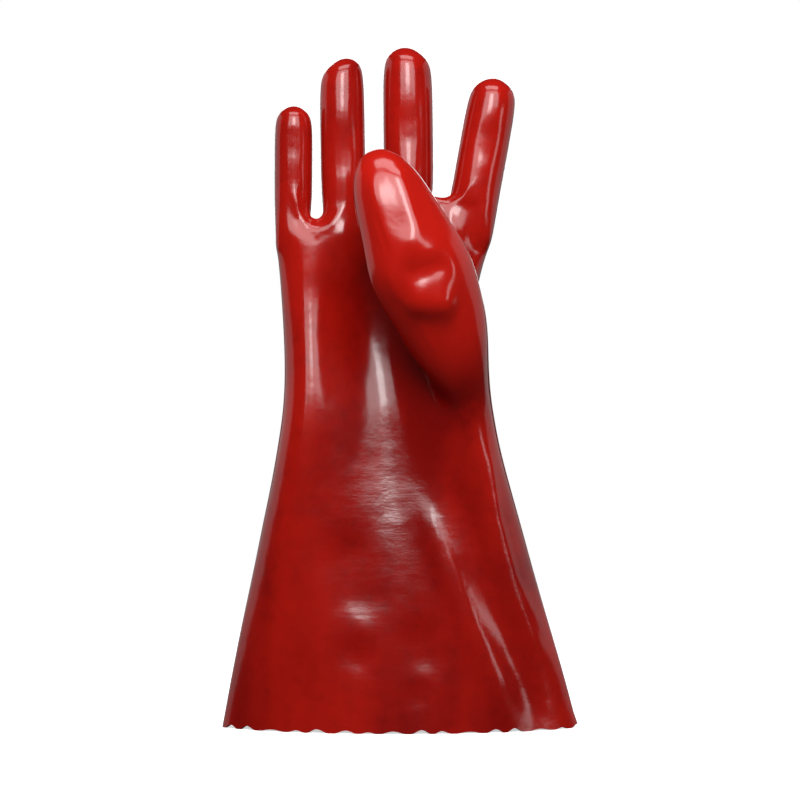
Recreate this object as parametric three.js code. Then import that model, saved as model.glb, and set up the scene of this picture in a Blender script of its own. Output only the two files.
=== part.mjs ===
// A PVC coated work glove with a long gauntlet, dipped in one piece and hollow from the hem to the fingertips.
// It stands upright on its scalloped hem. Millimetres, +Z up, the palm faces -Y and the thumb is on the +X side.
// The form is a coarse cage of quads, smoothed into a limit surface, with a wall of even thickness inside it.

import * as THREE from "three";

// Whole glove, from the lowest point of the hem to the tip of the middle finger
const gloveLength = 400;
const wallThickness = 1.6;

// Gauntlet
const hemWidth = 209;
const hemDepth = 66;
const wristWidth = 116;
const wristDepth = 60;

// The hand stands a little towards the little finger's side of the hem's middle
const handShift = -10;
const knuckleShift = -9.4;

// Hand
const palmDepth = 39;
const palmSetBack = 5;
const palmHollow = 22;
const littleRingGap = 5.5;
const ringMiddleGap = 10.5;
const middleIndexGap = 6.2;

// Fingers, each with its width across and its length from the knuckle line to the tip
const littleWidth = 22.5;
const littleLength = 71.6;
const ringWidth = 26.5;
const ringLength = 99.3;
const middleWidth = 29.5;
const middleLength = 106;
const indexWidth = 29;
const indexLength = 89.2;

// Depth of a finger as a share of its width, and how far its tip comes forward
const fingerRoundness = 0.96;
const fingerCurl = 2;

// Thumb: its root is stated as shares of half the wrist's width, the wrist's depth and the knuckle height
const thumbLength = 161;
const thumbWidth = 45;
const thumbDepth = 34;
const thumbReach = 38;
const thumbMound = 10;
const thumbRootAcross = 0.74;
const thumbRootForward = 0.233;
const thumbRootUp = 0.605;
const thumbLean = 21;

// Scalloped hem. The crests are flat where the wave is under scallopFlat of its depth
const scallopPitch = 14.7;
const scallopDepth = 1.9;
const scallopStep = 2.3;
const scallopFlat = 0.16;

// Finish
const pvcRed = 0x96120c;
const pvcRoughness = 0.22;

const knuckleHeight = gloveLength - middleLength;

const radians = THREE.MathUtils.degToRad;
const mix = THREE.MathUtils.lerp;

// A ring of so many cage points settles this much inside its points once it is smoothed
const settle = (count) => (4 + 2 * Math.cos((2 * Math.PI) / count)) / 6;

// Fingers from the little finger to the index. gap is the space to the next finger and web the height of the web
// in that space over the knuckle line, as a share of the middle finger's length. lean is in degrees towards the
// thumb's side, and slope is how far the tip slants, as rise over width
const fingers = [
  { width: littleWidth, length: littleLength, gap: littleRingGap, web: 0.068, lean: 0.4, slope: 0 },
  { width: ringWidth, length: ringLength, gap: ringMiddleGap, web: 0.113, lean: -0.8, slope: 0.34 },
  { width: middleWidth, length: middleLength, gap: middleIndexGap, web: 0.192, lean: -0.6, slope: -0.16 },
  { width: indexWidth, length: indexLength, gap: 0, web: -0.038, lean: 10.2, slope: 0 },
];

// Root of the fingers. columnAt is where a finger's side columns stand, as a share of its width, and outerSwell
// moves the outermost two further out. middleDeep and sideDeep are shares of a finger's depth. dip is how far the
// saddle of a web and the back lie lower, and littleSide the height at the little finger's outer side, both as
// shares of the middle finger's length
const root = { columnAt: 0.44, outerSwell: 0.07, middleDeep: 1.06, sideDeep: 0.78, dip: 0.045, littleSide: -0.075 };

// Rings of a finger: up is a share of its length, down and wide are shares of its width
const fingerRings = [
  { up: 0.2, down: 0, wide: 0.99 },
  { up: 0.42, down: 0, wide: 1 },
  { up: 0.64, down: 0, wide: 1 },
  { up: 1, down: 0.5, wide: 0.99 },
  { up: 1, down: 0.16, wide: 0.83 },
];

// Height of the tip's cage point over the finger's length, as a share of the width, and the share of the length
// from which the slope of the tip sets in
const fingerCap = { rise: 0.2, slopeFrom: 0.75 };

// Sections of the gauntlet and the palm, from the hem up. at is a share of the knuckle height. flare, spread and
// thin blend the wrist's size into that of the hem, the knuckles and the palm. shift, set, mound and cup are shares
// of handShift, palmSetBack, thumbMound and palmHollow. even tells how far the columns follow the round of the
// section and not the fingers. full is 0.5 for an ellipse, more for a flatter lens with tight corners and less for
// a fuller form. A row leaves out what is the same as in plainSection
const plainSection = { flare: 0, spread: 0, thin: 0, set: 0, even: 1, mound: 0 };
const sections = [
  { at: 0.03, flare: 0.958, shift: 0.03, full: 0.72, cup: 0.1 },
  { at: 0.12, flare: 0.83, shift: 0.14, full: 0.68, cup: 0.2 },
  { at: 0.215, flare: 0.68, shift: 0.28, full: 0.62, cup: 0.32 },
  { at: 0.31, flare: 0.525, shift: 0.38, mound: 0.02, full: 0.56, cup: 0.47 },
  { at: 0.405, flare: 0.385, shift: 0.48, mound: 0.08, full: 0.5, cup: 0.68 },
  { at: 0.49, flare: 0.25, shift: 0.57, mound: 0.22, full: 0.45, cup: 0.88 },
  { at: 0.57, flare: 0.14, thin: 0.05, shift: 0.68, even: 0.95, mound: 0.52, full: 0.42, cup: 1 },
  { at: 0.64, flare: 0.07, thin: 0.16, shift: 0.7, set: 0.2, even: 0.85, mound: 0.92, full: 0.4, cup: 1 },
  { at: 0.72, thin: 0.4, shift: 0.95, set: 0.5, even: 0.65, mound: 1, full: 0.4, cup: 1 },
  { at: 0.805, spread: -0.2, thin: 0.68, shift: 1.2, set: 0.8, even: 0.4, mound: 0.7, full: 0.4, cup: 0.93 },
  { at: 0.885, thin: 0.9, shift: 1.22, set: 1, even: 0.2, mound: 0.25, full: 0.4, cup: 0.7 },
  { at: 0.95, spread: 0.5, thin: 1, shift: 1.05, set: 1, even: 0.05, mound: 0.05, full: 0.4, cup: 0.28 },
].map((section) => ({ ...plainSection, ...section }));

// The thumb grows out of these columns of these sections. The ball of the thumb rises over the columns of
// moundColumns, and moundSide is its share at the thumb's side of the wrist
const thumbColumns = [8, 12];
const thumbSections = [7, 10];
const moundColumns = [5.8, 9.2];
const moundSide = 0.5;

// The hollow of the palm: the column at its middle, how many columns away it starts, and over how many it falls
const palmCup = { column: 5.5, reach: 3.6, fall: 3.1 };

// Rings of the thumb. along is a share of its length, out, wide and deep are shares of its width, width and depth,
// reach is the way forward as a share of thumbReach, and pitch tips the ring's plane forward in degrees
const thumbRings = [
  { along: 0.3, out: 0.07, wide: 1.04, deep: 1.5, reach: 0.42, pitch: 66 },
  { along: 0.43, out: 0.09, wide: 1.22, deep: 1.42, reach: 0.64, pitch: 52 },
  { along: 0.59, out: 0.09, wide: 1.28, deep: 1.26, reach: 0.82, pitch: 33 },
  { along: 0.755, out: 0.035, wide: 1.1, deep: 1.08, reach: 0.95, pitch: 17 },
  { along: 0.9, out: 0.025, wide: 0.92, deep: 0.93, reach: 1, pitch: 10 },
  { along: 0.985, out: 0.02, wide: 0.64, deep: 0.64, reach: 1, pitch: 5 },
];
const thumbCap = { along: 1.035, out: 0.02, wide: 0.5, deep: 0.5, reach: 1, pitch: 5 };

// Folds and dents of the front, on the palm's side or on the thumb. across is a share of half the hem's width and
// up of the knuckle height. width is how far the fold fades, as a share of the wrist's width, and rise how far it
// stands out, as a share of its own width
const folds = [
  { on: "palm", across: 0.14, up: 0.51, toAcross: 0.49, toUp: 0.06, width: 0.062, rise: 0.3 },
  { on: "palm", across: 0.28, up: 0.53, toAcross: 0.6, toUp: 0.08, width: 0.07, rise: -0.34 },
  { on: "palm", across: 0.37, up: 0.6, toAcross: 0.66, toUp: 0.2, width: 0.056, rise: 0.26 },
  { on: "palm", across: 0.235, up: 1.045, toAcross: 0.35, toUp: 0.93, width: 0.036, rise: 0.34 },
  { on: "palm", across: 0.4, up: 1.03, toAcross: 0.42, toUp: 0.95, width: 0.05, rise: -0.28 },
  { on: "thumb", across: -0.15, up: 1.01, toAcross: -0.04, toUp: 0.89, width: 0.045, rise: 0.26 },
  { on: "thumb", across: -0.09, up: 1.05, toAcross: -0.085, toUp: 1.03, width: 0.04, rise: -0.3 },
  { on: "thumb", across: 0.0, up: 0.85, toAcross: 0.16, toUp: 0.8, width: 0.05, rise: -0.26 },
  { on: "thumb", across: 0.17, up: 0.875, toAcross: 0.22, toUp: 0.86, width: 0.07, rise: 0.2 },
];

// Folds fade out where the front turns sideways: none below the first share of facing forward, full at the second
const foldFacing = [0.1, 0.5];

// Cage

class Cage {
  constructor() {
    this.points = [];
    this.quads = [];
  }

  point(x, y, z) {
    this.points.push(new THREE.Vector3(x, y, z));
    return this.points.length - 1;
  }

  // Quads between two rings of as many points, from edge to edge
  bridge(lower, upper, skipped = () => false) {
    lower.forEach((start, i) => {
      const next = (i + 1) % lower.length;
      if (!skipped(i)) {
        this.quads.push([start, lower[next], upper[next], upper[i]]);
      }
    });
  }
}

const fingerCount = fingers.length;
const columnCount = 3 * fingerCount;
const knuckleWidth = fingers.reduce((sum, finger) => sum + finger.width + finger.gap, 0);

// Middle of each finger across the knuckle line
const fingerCentres = [];
let standing = knuckleShift - knuckleWidth / 2;
for (const finger of fingers) {
  fingerCentres.push(standing + finger.width / 2);
  standing += finger.width + finger.gap;
}

// The three columns of a finger: its left side, its middle and its right side
const columnX = fingers.flatMap((finger, index) =>
  [-1, 0, 1].map((side) => fingerCentres[index] + side * root.columnAt * finger.width),
);

// Columns of an even section run by equal angles, those near the knuckles line up with the fingers
function columnShare(column, even) {
  const angle = (Math.PI * (column + 1)) / (columnCount + 1);
  const handShare = (columnX[column] - knuckleShift) / (knuckleWidth / 2);
  return mix(handShare, -Math.cos(angle), even);
}

function sectionPoint(cage, section, share, side, mound = 0, cup = 0) {
  const width =
    wristWidth + (hemWidth - wristWidth) * section.flare + (knuckleWidth - wristWidth) * section.spread;
  const depth = wristDepth + (hemDepth - wristDepth) * section.flare + (palmDepth - wristDepth) * section.thin;
  const round = (1 - share * share) ** section.full;
  const relief = palmHollow * section.cup * cup - thumbMound * section.mound * mound;
  return cage.point(
    handShift * section.shift + ((width / 2) * share) / settle(2 * columnCount + 2),
    palmSetBack * section.set + (side * depth * round) / 2 + relief,
    knuckleHeight * section.at,
  );
}

// One ring round the gauntlet: the front columns, the thumb side, the back columns and the little finger side
function gauntletRing(cage, section) {
  const columns = [...Array(columnCount).keys()];
  const front = columns.map((column) => {
    const mound = THREE.MathUtils.smoothstep(column, ...moundColumns);
    const cup = THREE.MathUtils.clamp((palmCup.reach - Math.abs(column - palmCup.column)) / palmCup.fall, 0, 1);
    return sectionPoint(cage, section, columnShare(column, section.even), -1, mound, cup);
  });
  const thumbSide = sectionPoint(cage, section, 1, 0, moundSide);
  const back = columns.map((column) => sectionPoint(cage, section, columnShare(column, section.even), 1));
  const littleSide = sectionPoint(cage, section, -1, 0);
  return [...front, thumbSide, ...back.reverse(), littleSide];
}

// Height of the root line at a finger's column, over the knuckle line
function rootRise(column) {
  const finger = Math.floor(column / 3);
  const side = (column % 3) - 1;
  const left = finger > 0 ? fingers[finger - 1].web : root.littleSide;
  const right = fingers[finger].web;
  return middleLength * (side < 0 ? left : side > 0 ? right : (left + right) / 2);
}

// The root line: three rows of points, front, middle and back, from which the fingers rise and the palm hangs
function rootGrid(cage) {
  return [-1, 0, 1].map((row) =>
    columnX.map((x, column) => {
      const finger = fingers[Math.floor(column / 3)];
      const side = (column % 3) - 1;
      const edge = column === 0 ? -1 : column === columnCount - 1 ? 1 : 0;
      const out = row === 0 ? edge * root.outerSwell * finger.width : 0;
      const deep = side === 0 ? root.middleDeep : root.sideDeep;
      const dip = row === 0 && edge === 0 ? 0 : root.dip * middleLength;
      return cage.point(
        x + out,
        palmSetBack + (row * deep * finger.width * fingerRoundness) / 2,
        knuckleHeight + rootRise(column) - dip,
      );
    }),
  );
}

// A finger rises from its eight root points in rings and closes over its tip
function addFinger(cage, index, grid) {
  const finger = fingers[index];
  const first = 3 * index;
  const [front, middle, back] = grid;
  let below = [
    ...front.slice(first, first + 3),
    middle[first + 2],
    ...back.slice(first, first + 3).reverse(),
    middle[first],
  ];
  const count = below.length;
  const lean = radians(finger.lean);
  const { rise: capRise, slopeFrom } = fingerCap;
  const place = (rise, across, depth) => {
    const share = rise / finger.length;
    const slanted = Math.max(0, (share - slopeFrom) / (1 - slopeFrom));
    const height = rise + finger.slope * across * slanted;
    return cage.point(
      fingerCentres[index] + across * Math.cos(lean) + height * Math.sin(lean),
      palmSetBack + depth - fingerCurl * share * share,
      knuckleHeight + height * Math.cos(lean) - across * Math.sin(lean),
    );
  };
  for (const ring of fingerRings) {
    const rise = ring.up * finger.length - ring.down * finger.width;
    const half = (ring.wide * finger.width) / 2 / settle(count);
    const upper = below.map((_, i) => {
      const angle = (2 * Math.PI * (i - 3)) / count;
      return place(rise, half * Math.cos(angle), half * fingerRoundness * Math.sin(angle));
    });
    cage.bridge(below, upper);
    below = upper;
  }
  const tip = place(finger.length + capRise * finger.width, 0, 0);
  for (let corner = 0; corner < count; corner += 2) {
    cage.quads.push([below[(corner + count - 1) % count], below[corner], below[corner + 1], tip]);
  }
}

// Rim of a rectangle of points, taken round it from the lower left, with the angle at which each point leaves it
function patchRim(rows) {
  const height = rows.length - 1;
  const width = rows[0].length - 1;
  const lower = rows[0].slice(0, width);
  const right = rows.slice(0, height).map((row) => row[width]);
  const upper = rows[height].slice(1).reverse();
  const left = rows.slice(1).reverse().map((row) => row[0]);
  return [lower, right, upper, left].flatMap((side, turn) =>
    side.map((point, i) => ({ point, angle: 90 * turn - 135 + (90 * i) / side.length })),
  );
}

// The thumb leaves the palm through a patch of quads, and a patch of the same layout closes its tip
function addThumb(cage, rings) {
  const [firstColumn, lastColumn] = thumbColumns;
  const [lowest, highest] = thumbSections;
  const rows = rings.slice(lowest, highest + 1).map((ring) => ring.slice(firstColumn, lastColumn + 1));
  const rim = patchRim(rows);
  const lean = radians(thumbLean);
  const start = new THREE.Vector3(
    (thumbRootAcross * wristWidth) / 2,
    -thumbRootForward * wristDepth,
    thumbRootUp * knuckleHeight,
  );
  const axis = new THREE.Vector3(-Math.sin(lean), 0, Math.cos(lean));
  const across = new THREE.Vector3(Math.cos(lean), 0, Math.sin(lean));
  const forward = new THREE.Vector3(0, -1, 0);
  const place = (ring, u, v) => {
    const pitch = radians(ring.pitch);
    const back = forward.clone().multiplyScalar(-Math.cos(pitch)).addScaledVector(axis, Math.sin(pitch));
    const centre = start.clone().addScaledVector(axis, ring.along * thumbLength);
    centre.addScaledVector(forward, ring.reach * thumbReach);
    centre.addScaledVector(across, thumbWidth * (ring.out + (u * ring.wide) / 2));
    centre.addScaledVector(back, (thumbDepth * v * ring.deep) / 2);
    return cage.point(centre.x, centre.y, centre.z);
  };
  let below = rim.map(({ point }) => point);
  const swell = 1 / settle(rim.length);
  for (const ring of thumbRings) {
    const upper = rim.map(({ angle }) =>
      place(ring, swell * Math.cos(radians(angle)), swell * Math.sin(radians(angle))),
    );
    cage.bridge(below, upper);
    below = upper;
  }
  const height = rows.length - 1;
  const width = rows[0].length - 1;
  const cap = rows.map((points, row) =>
    points.map((point, column) => {
      const onRim = rim.findIndex((place) => place.point === point);
      return onRim >= 0 ? below[onRim] : place(thumbCap, (2 * column) / width - 1, (2 * row) / height - 1);
    }),
  );
  cap.slice(1).forEach((upper, row) => {
    upper.slice(1).forEach((corner, column) => {
      cage.quads.push([cap[row][column], cap[row][column + 1], corner, upper[column]]);
    });
  });
}

// Points inside the thumb's patch belong to no quad and are dropped
function withoutLoosePoints({ points, quads }) {
  const used = [...new Set(quads.flat())].sort((a, b) => a - b);
  const place = new Map(used.map((index, i) => [index, i]));
  return {
    points: used.map((index) => points[index]),
    quads: quads.map((quad) => quad.map((index) => place.get(index))),
  };
}

function buildCage() {
  const cage = new Cage();
  const rings = sections.map((section) => gauntletRing(cage, section));
  const grid = rootGrid(cage);
  const [front, middle, back] = grid;
  rings.push([...front, middle[columnCount - 1], ...[...back].reverse(), middle[0]]);
  const [firstColumn, lastColumn] = thumbColumns;
  const [lowest, highest] = thumbSections;
  rings.slice(1).forEach((upper, row) => {
    const inRows = row >= lowest && row < highest;
    cage.bridge(rings[row], upper, (column) => inRows && column >= firstColumn && column < lastColumn);
  });
  fingers.forEach((_, index) => {
    addFinger(cage, index, grid);
    if (index < fingerCount - 1) {
      const right = 3 * index + 2;
      cage.quads.push([front[right], front[right + 1], middle[right + 1], middle[right]]);
      cage.quads.push([middle[right], middle[right + 1], back[right + 1], back[right]]);
    }
  });
  addThumb(cage, rings);
  return withoutLoosePoints(cage);
}

// Smoothing

const edgeKey = (a, b) => (a < b ? `${a}_${b}` : `${b}_${a}`);

function average(points, indices) {
  const sum = new THREE.Vector3();
  indices.forEach((index) => sum.add(points[index]));
  return sum.divideScalar(indices.length);
}

// Neighbours of each point: along edges, across quads, and along the open edge of the hem
function neighbours({ points, quads }) {
  const edges = new Map();
  const around = points.map(() => ({ edges: new Set(), across: [], quads: [], open: [] }));
  quads.forEach((quad, q) => {
    quad.forEach((a, i) => {
      const b = quad[(i + 1) % 4];
      const key = edgeKey(a, b);
      const edge = edges.get(key) ?? { ends: [a, b], quads: [] };
      edge.quads.push(q);
      edges.set(key, edge);
      around[a].edges.add(b);
      around[b].edges.add(a);
      around[a].across.push(quad[(i + 2) % 4]);
      around[a].quads.push(q);
    });
  });
  for (const { ends: [a, b], quads: beside } of edges.values()) {
    if (beside.length === 1) {
      around[a].open.push(b);
      around[b].open.push(a);
    }
  }
  return { edges, around };
}

// One step of Catmull-Clark smoothing: each quad becomes four
function subdivide(mesh) {
  const { edges, around } = neighbours(mesh);
  const { points, quads } = mesh;
  const centres = quads.map((quad) => average(points, quad));
  const moved = points.map((point, index) => {
    const near = around[index];
    if (near.open.length > 0) {
      const [left, right] = near.open.map((i) => points[i]);
      return point.clone().multiplyScalar(6).add(left).add(right).divideScalar(8);
    }
    const count = near.edges.size;
    const sum = point.clone().multiplyScalar(count - 2);
    return sum.add(average(centres, near.quads)).add(average(points, [...near.edges])).divideScalar(count);
  });
  const quadPoint = centres.map((centre) => moved.push(centre) - 1);
  const edgePoint = new Map();
  for (const [key, edge] of edges) {
    const middle = average(points, edge.ends);
    if (edge.quads.length === 2) {
      middle.add(average(centres, edge.quads)).divideScalar(2);
    }
    edgePoint.set(key, moved.push(middle) - 1);
  }
  const finer = quads.flatMap((quad, q) =>
    quad.map((corner, i) => [
      corner,
      edgePoint.get(edgeKey(corner, quad[(i + 1) % 4])),
      quadPoint[q],
      edgePoint.get(edgeKey(quad[(i + 3) % 4], corner)),
    ]),
  );
  return { points: moved, quads: finer };
}

// Each point moves to where endless smoothing would take it
function settleOnLimit(mesh) {
  const { around } = neighbours(mesh);
  return mesh.points.map((point, index) => {
    const near = around[index];
    if (near.open.length > 0) {
      const [left, right] = near.open.map((i) => mesh.points[i]);
      return point.clone().multiplyScalar(4).add(left).add(right).divideScalar(6);
    }
    const count = near.edges.size;
    const sum = point.clone().multiplyScalar(count * count);
    near.edges.forEach((i) => sum.addScaledVector(mesh.points[i], 4));
    near.across.forEach((i) => sum.add(mesh.points[i]));
    return sum.divideScalar(count * (count + 5));
  });
}

function pointNormals(points, quads) {
  const normals = points.map(() => new THREE.Vector3());
  for (const [a, b, c, d] of quads) {
    const along = points[c].clone().sub(points[a]);
    const normal = along.cross(points[d].clone().sub(points[b]));
    [a, b, c, d].forEach((index) => normals[index].add(normal));
  }
  return normals.map((normal) => normal.normalize());
}

// Folds

// What is further forward than this is the thumb and not the palm
const thumbFront = -(wristDepth / 2 + thumbMound);

function foldRise(row, point) {
  const start = new THREE.Vector2((row.across * hemWidth) / 2, row.up * knuckleHeight);
  const end = new THREE.Vector2((row.toAcross * hemWidth) / 2, row.toUp * knuckleHeight);
  const way = end.sub(start);
  const from = new THREE.Vector2(point.x, point.z).sub(start);
  const share = THREE.MathUtils.clamp(from.dot(way) / way.lengthSq(), 0, 1);
  const width = row.width * wristWidth;
  const distance = from.addScaledVector(way, -share).length() / width;
  return row.rise * width * Math.exp(-distance * distance);
}

// The front of the shell moves along its own normals where folds and dents cross it
function foldFront(points, normals) {
  return points.map((point, i) => {
    const facing = THREE.MathUtils.smoothstep(-normals[i].y, ...foldFacing);
    const layer = point.y < thumbFront ? "thumb" : "palm";
    const rise = folds
      .filter(({ on }) => on === layer)
      .reduce((sum, row) => sum + foldRise(row, point), 0);
    return point.clone().addScaledVector(normals[i], rise * facing);
  });
}

// Hem

// The open edge of the smoothed cage, in order round the glove, each point with the one above it
function openLoop(mesh) {
  const { around } = neighbours(mesh);
  const above = (index) => [...around[index].edges].find((other) => !around[index].open.includes(other));
  const following = new Map();
  for (const quad of mesh.quads) {
    quad.forEach((a, i) => {
      const b = quad[(i + 1) % 4];
      if (around[a].open.includes(b)) {
        following.set(a, b);
      }
    });
  }
  const [start] = following.keys();
  const loop = [start];
  for (let next = following.get(start); next !== start; next = following.get(next)) {
    loop.push(next);
  }
  return loop.map((index) => ({ index, above: above(index) }));
}

// Height of the scalloped edge at a share of the way round: flat crests to stand on, with notches between them
function scallopLift(share, count) {
  const wave = (1 - Math.cos(2 * Math.PI * share * count)) / 2;
  return (scallopDepth * Math.max(0, wave - scallopFlat)) / (1 - scallopFlat);
}

// Places along the loop where the edge has its points, each a share of an edge of the loop with its own lift
function hemSteps(points, loop) {
  const lengths = loop.map(({ index }, i) =>
    points[index].distanceTo(points[loop[(i + 1) % loop.length].index]),
  );
  const round = lengths.reduce((sum, length) => sum + length, 0);
  const count = Math.round(round / scallopPitch);
  let walked = 0;
  return lengths.map((length) => {
    const splits = Math.max(2, Math.round(length / scallopStep));
    const steps = [...Array(splits).keys()].map((step) => ({
      share: step / splits,
      lift: scallopLift((walked + (length * step) / splits) / round, count),
    }));
    walked += length;
    return steps;
  });
}

// A wall's lowest points carry on down its own slope to the scalloped edge
function hangHem(vertices, points, loop, steps) {
  const hang = ({ index, above }, lift) => {
    const slope = points[index].clone().sub(points[above]);
    slope.divideScalar(slope.z);
    return points[index].clone().addScaledVector(slope, lift - points[index].z);
  };
  return steps.map((edge, i) =>
    edge.map(({ share, lift }) => {
      const place = hang(loop[i], lift).lerp(hang(loop[(i + 1) % loop.length], lift), share);
      return vertices.push(place) - 1;
    }),
  );
}

// Shell: an outer wall, an inner wall and the edge of the hem between them

function buildShell() {
  const mesh = subdivide(buildCage());
  const smooth = settleOnLimit(mesh);
  const outer = foldFront(smooth, pointNormals(smooth, mesh.quads));
  const normals = pointNormals(outer, mesh.quads);
  const inner = outer.map((point, i) => point.clone().addScaledVector(normals[i], -wallThickness));
  const vertices = [...outer, ...inner];
  const triangles = [];
  const loop = openLoop(mesh);
  const steps = hemSteps(outer, loop);
  const addWall = (points, first, outward) => {
    const add = (a, b, c) => triangles.push(outward ? [a, b, c] : [a, c, b]);
    for (const [a, b, c, d] of mesh.quads) {
      add(first + a, first + b, first + c);
      add(first + a, first + c, first + d);
    }
    const edge = hangHem(vertices, points, loop, steps);
    edge.forEach((bottom, i) => {
      const next = (i + 1) % loop.length;
      const left = first + loop[i].index;
      const right = first + loop[next].index;
      const low = [...bottom, edge[next][0]];
      const half = Math.floor(bottom.length / 2);
      low.slice(1).forEach((point, j) => add(j < half ? left : right, low[j], point));
      add(left, low[half], right);
    });
    return edge.flat();
  };
  const outerEdge = addWall(outer, 0, true);
  const innerEdge = addWall(inner, outer.length, false);
  outerEdge.forEach((a, i) => {
    const next = (i + 1) % outerEdge.length;
    triangles.push([a, innerEdge[i], innerEdge[next]], [a, innerEdge[next], outerEdge[next]]);
  });
  return { vertices, triangles };
}

function shellGeometry() {
  const { vertices, triangles } = buildShell();
  const geometry = new THREE.BufferGeometry();
  geometry.setAttribute(
    "position",
    new THREE.Float32BufferAttribute(vertices.flatMap((v) => v.toArray()), 3),
  );
  geometry.setIndex(triangles.flat());
  geometry.computeVertexNormals();
  return geometry;
}

const pvc = new THREE.MeshStandardMaterial({ color: pvcRed, roughness: pvcRoughness, metalness: 0 });
const shell = new THREE.Mesh(shellGeometry(), pvc);
shell.name = "glove_shell";

const glove = new THREE.Group();
glove.add(shell);

// The origin is the middle of the bounding box, on the surface that the hem stands on
const middle = new THREE.Box3().setFromObject(shell).getCenter(new THREE.Vector3());
shell.position.set(-middle.x, -middle.y, 0);

export default glove;
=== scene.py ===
"""A long PVC coated work glove that stands on its scalloped hem: one dipped shell, folded and glossy.

Metres, +Z up. The palm faces -Y and the thumb is on the +X side.
"""

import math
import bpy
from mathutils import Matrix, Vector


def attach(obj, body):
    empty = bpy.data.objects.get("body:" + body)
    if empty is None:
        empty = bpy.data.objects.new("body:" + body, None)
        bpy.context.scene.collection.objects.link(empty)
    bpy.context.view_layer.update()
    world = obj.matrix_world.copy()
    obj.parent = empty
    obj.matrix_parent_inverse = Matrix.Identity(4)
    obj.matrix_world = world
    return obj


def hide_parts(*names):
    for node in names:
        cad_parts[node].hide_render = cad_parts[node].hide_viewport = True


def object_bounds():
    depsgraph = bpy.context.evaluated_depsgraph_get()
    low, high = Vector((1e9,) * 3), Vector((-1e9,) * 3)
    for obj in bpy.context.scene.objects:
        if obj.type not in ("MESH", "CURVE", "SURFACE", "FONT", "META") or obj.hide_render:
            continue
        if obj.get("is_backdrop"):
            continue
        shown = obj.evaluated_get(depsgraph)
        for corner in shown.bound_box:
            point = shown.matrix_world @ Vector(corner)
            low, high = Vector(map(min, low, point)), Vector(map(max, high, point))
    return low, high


bl_info = {
    "name": "PVC Coated Work Glove",
    "version": (1, 0, 0),
    "blender": (4, 5, 0),
    "location": "View3D > Sidebar > Glove",
    "description": "Models a dipped gauntlet glove with its folds, its scalloped hem and its glossy finish",
    "category": "Add Mesh",
}

import bmesh
import bpy
import numpy as np
from mathutils import Vector

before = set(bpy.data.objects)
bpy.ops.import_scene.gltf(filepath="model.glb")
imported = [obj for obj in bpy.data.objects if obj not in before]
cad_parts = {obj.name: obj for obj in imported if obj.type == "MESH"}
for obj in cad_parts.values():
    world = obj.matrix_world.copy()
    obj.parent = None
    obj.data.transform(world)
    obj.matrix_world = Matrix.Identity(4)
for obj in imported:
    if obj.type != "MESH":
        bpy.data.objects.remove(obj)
cad_low, cad_high = (Vector(corner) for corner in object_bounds())

# Fingers from the little finger to the index. gap is the space to the next finger, web the height of the web in
# that space over the knuckle line as a share of the middle finger's length, lean is in degrees towards the thumb
# and slope is how far the tip slants
FINGERS = (
    {"width": 0.0225, "length": 0.0716, "gap": 0.0055, "web": 0.068, "lean": 0.4, "slope": 0.0},
    {"width": 0.0265, "length": 0.0993, "gap": 0.0105, "web": 0.113, "lean": -0.8, "slope": 0.34},
    {"width": 0.0295, "length": 0.106, "gap": 0.0062, "web": 0.192, "lean": -0.6, "slope": -0.16},
    {"width": 0.029, "length": 0.0892, "gap": 0.0, "web": -0.038, "lean": 10.2, "slope": 0.0},
)
MIDDLE_LENGTH = FINGERS[2]["length"]

# Root of the fingers, as shares of a finger's width and depth and of the middle finger's length
ROOT = {"column": 0.44, "swell": 0.07, "middle": 1.06, "side": 0.78, "dip": 0.045, "little": -0.075}

# Rings of a finger: up is a share of its length, down and wide are shares of its width
FINGER_RINGS = (
    {"up": 0.2, "down": 0.0, "wide": 0.99},
    {"up": 0.42, "down": 0.0, "wide": 1.0},
    {"up": 0.64, "down": 0.0, "wide": 1.0},
    {"up": 1.0, "down": 0.5, "wide": 0.99},
    {"up": 1.0, "down": 0.16, "wide": 0.83},
)
CAP_RISE = 0.2
SLOPE_FROM = 0.75
FINGER_RING = 8

# Sections of the gauntlet and the palm from the hem up, as shares of the knuckle height, the wrist's size blended
# into that of the hem, the knuckles and the palm, the hand's shift and set-back, the ball of the thumb and the
# hollow of the palm
SECTION_COLUMNS = ("at", "flare", "spread", "thin", "shift", "set", "even", "mound", "full", "cup")
SECTIONS = tuple(
    dict(zip(SECTION_COLUMNS, row))
    for row in (
        (0.03, 0.958, 0, 0, 0.03, 0, 1, 0, 0.72, 0.1),
        (0.12, 0.83, 0, 0, 0.14, 0, 1, 0, 0.68, 0.2),
        (0.215, 0.68, 0, 0, 0.28, 0, 1, 0, 0.62, 0.32),
        (0.31, 0.525, 0, 0, 0.38, 0, 1, 0.02, 0.56, 0.47),
        (0.405, 0.385, 0, 0, 0.48, 0, 1, 0.08, 0.5, 0.68),
        (0.49, 0.25, 0, 0, 0.57, 0, 1, 0.22, 0.45, 0.88),
        (0.57, 0.14, 0, 0.05, 0.68, 0, 0.95, 0.52, 0.42, 1),
        (0.64, 0.07, 0, 0.16, 0.7, 0.2, 0.85, 0.92, 0.4, 1),
        (0.72, 0, 0, 0.4, 0.95, 0.5, 0.65, 1, 0.4, 1),
        (0.805, 0, -0.2, 0.68, 1.2, 0.8, 0.4, 0.7, 0.4, 0.93),
        (0.885, 0, 0, 0.9, 1.22, 1, 0.2, 0.25, 0.4, 0.7),
        (0.95, 0, 0.5, 1, 1.05, 1, 0.05, 0.05, 0.4, 0.28),
    )
)

# The thumb grows out of these columns of these sections
THUMB_COLUMNS = (8, 12)
THUMB_SECTIONS = (7, 10)

# The thumb's root, as shares of the wrist's width and depth and of the knuckle height
THUMB_ROOT = {"across": 0.37, "forward": 0.233, "up": 0.605}

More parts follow.
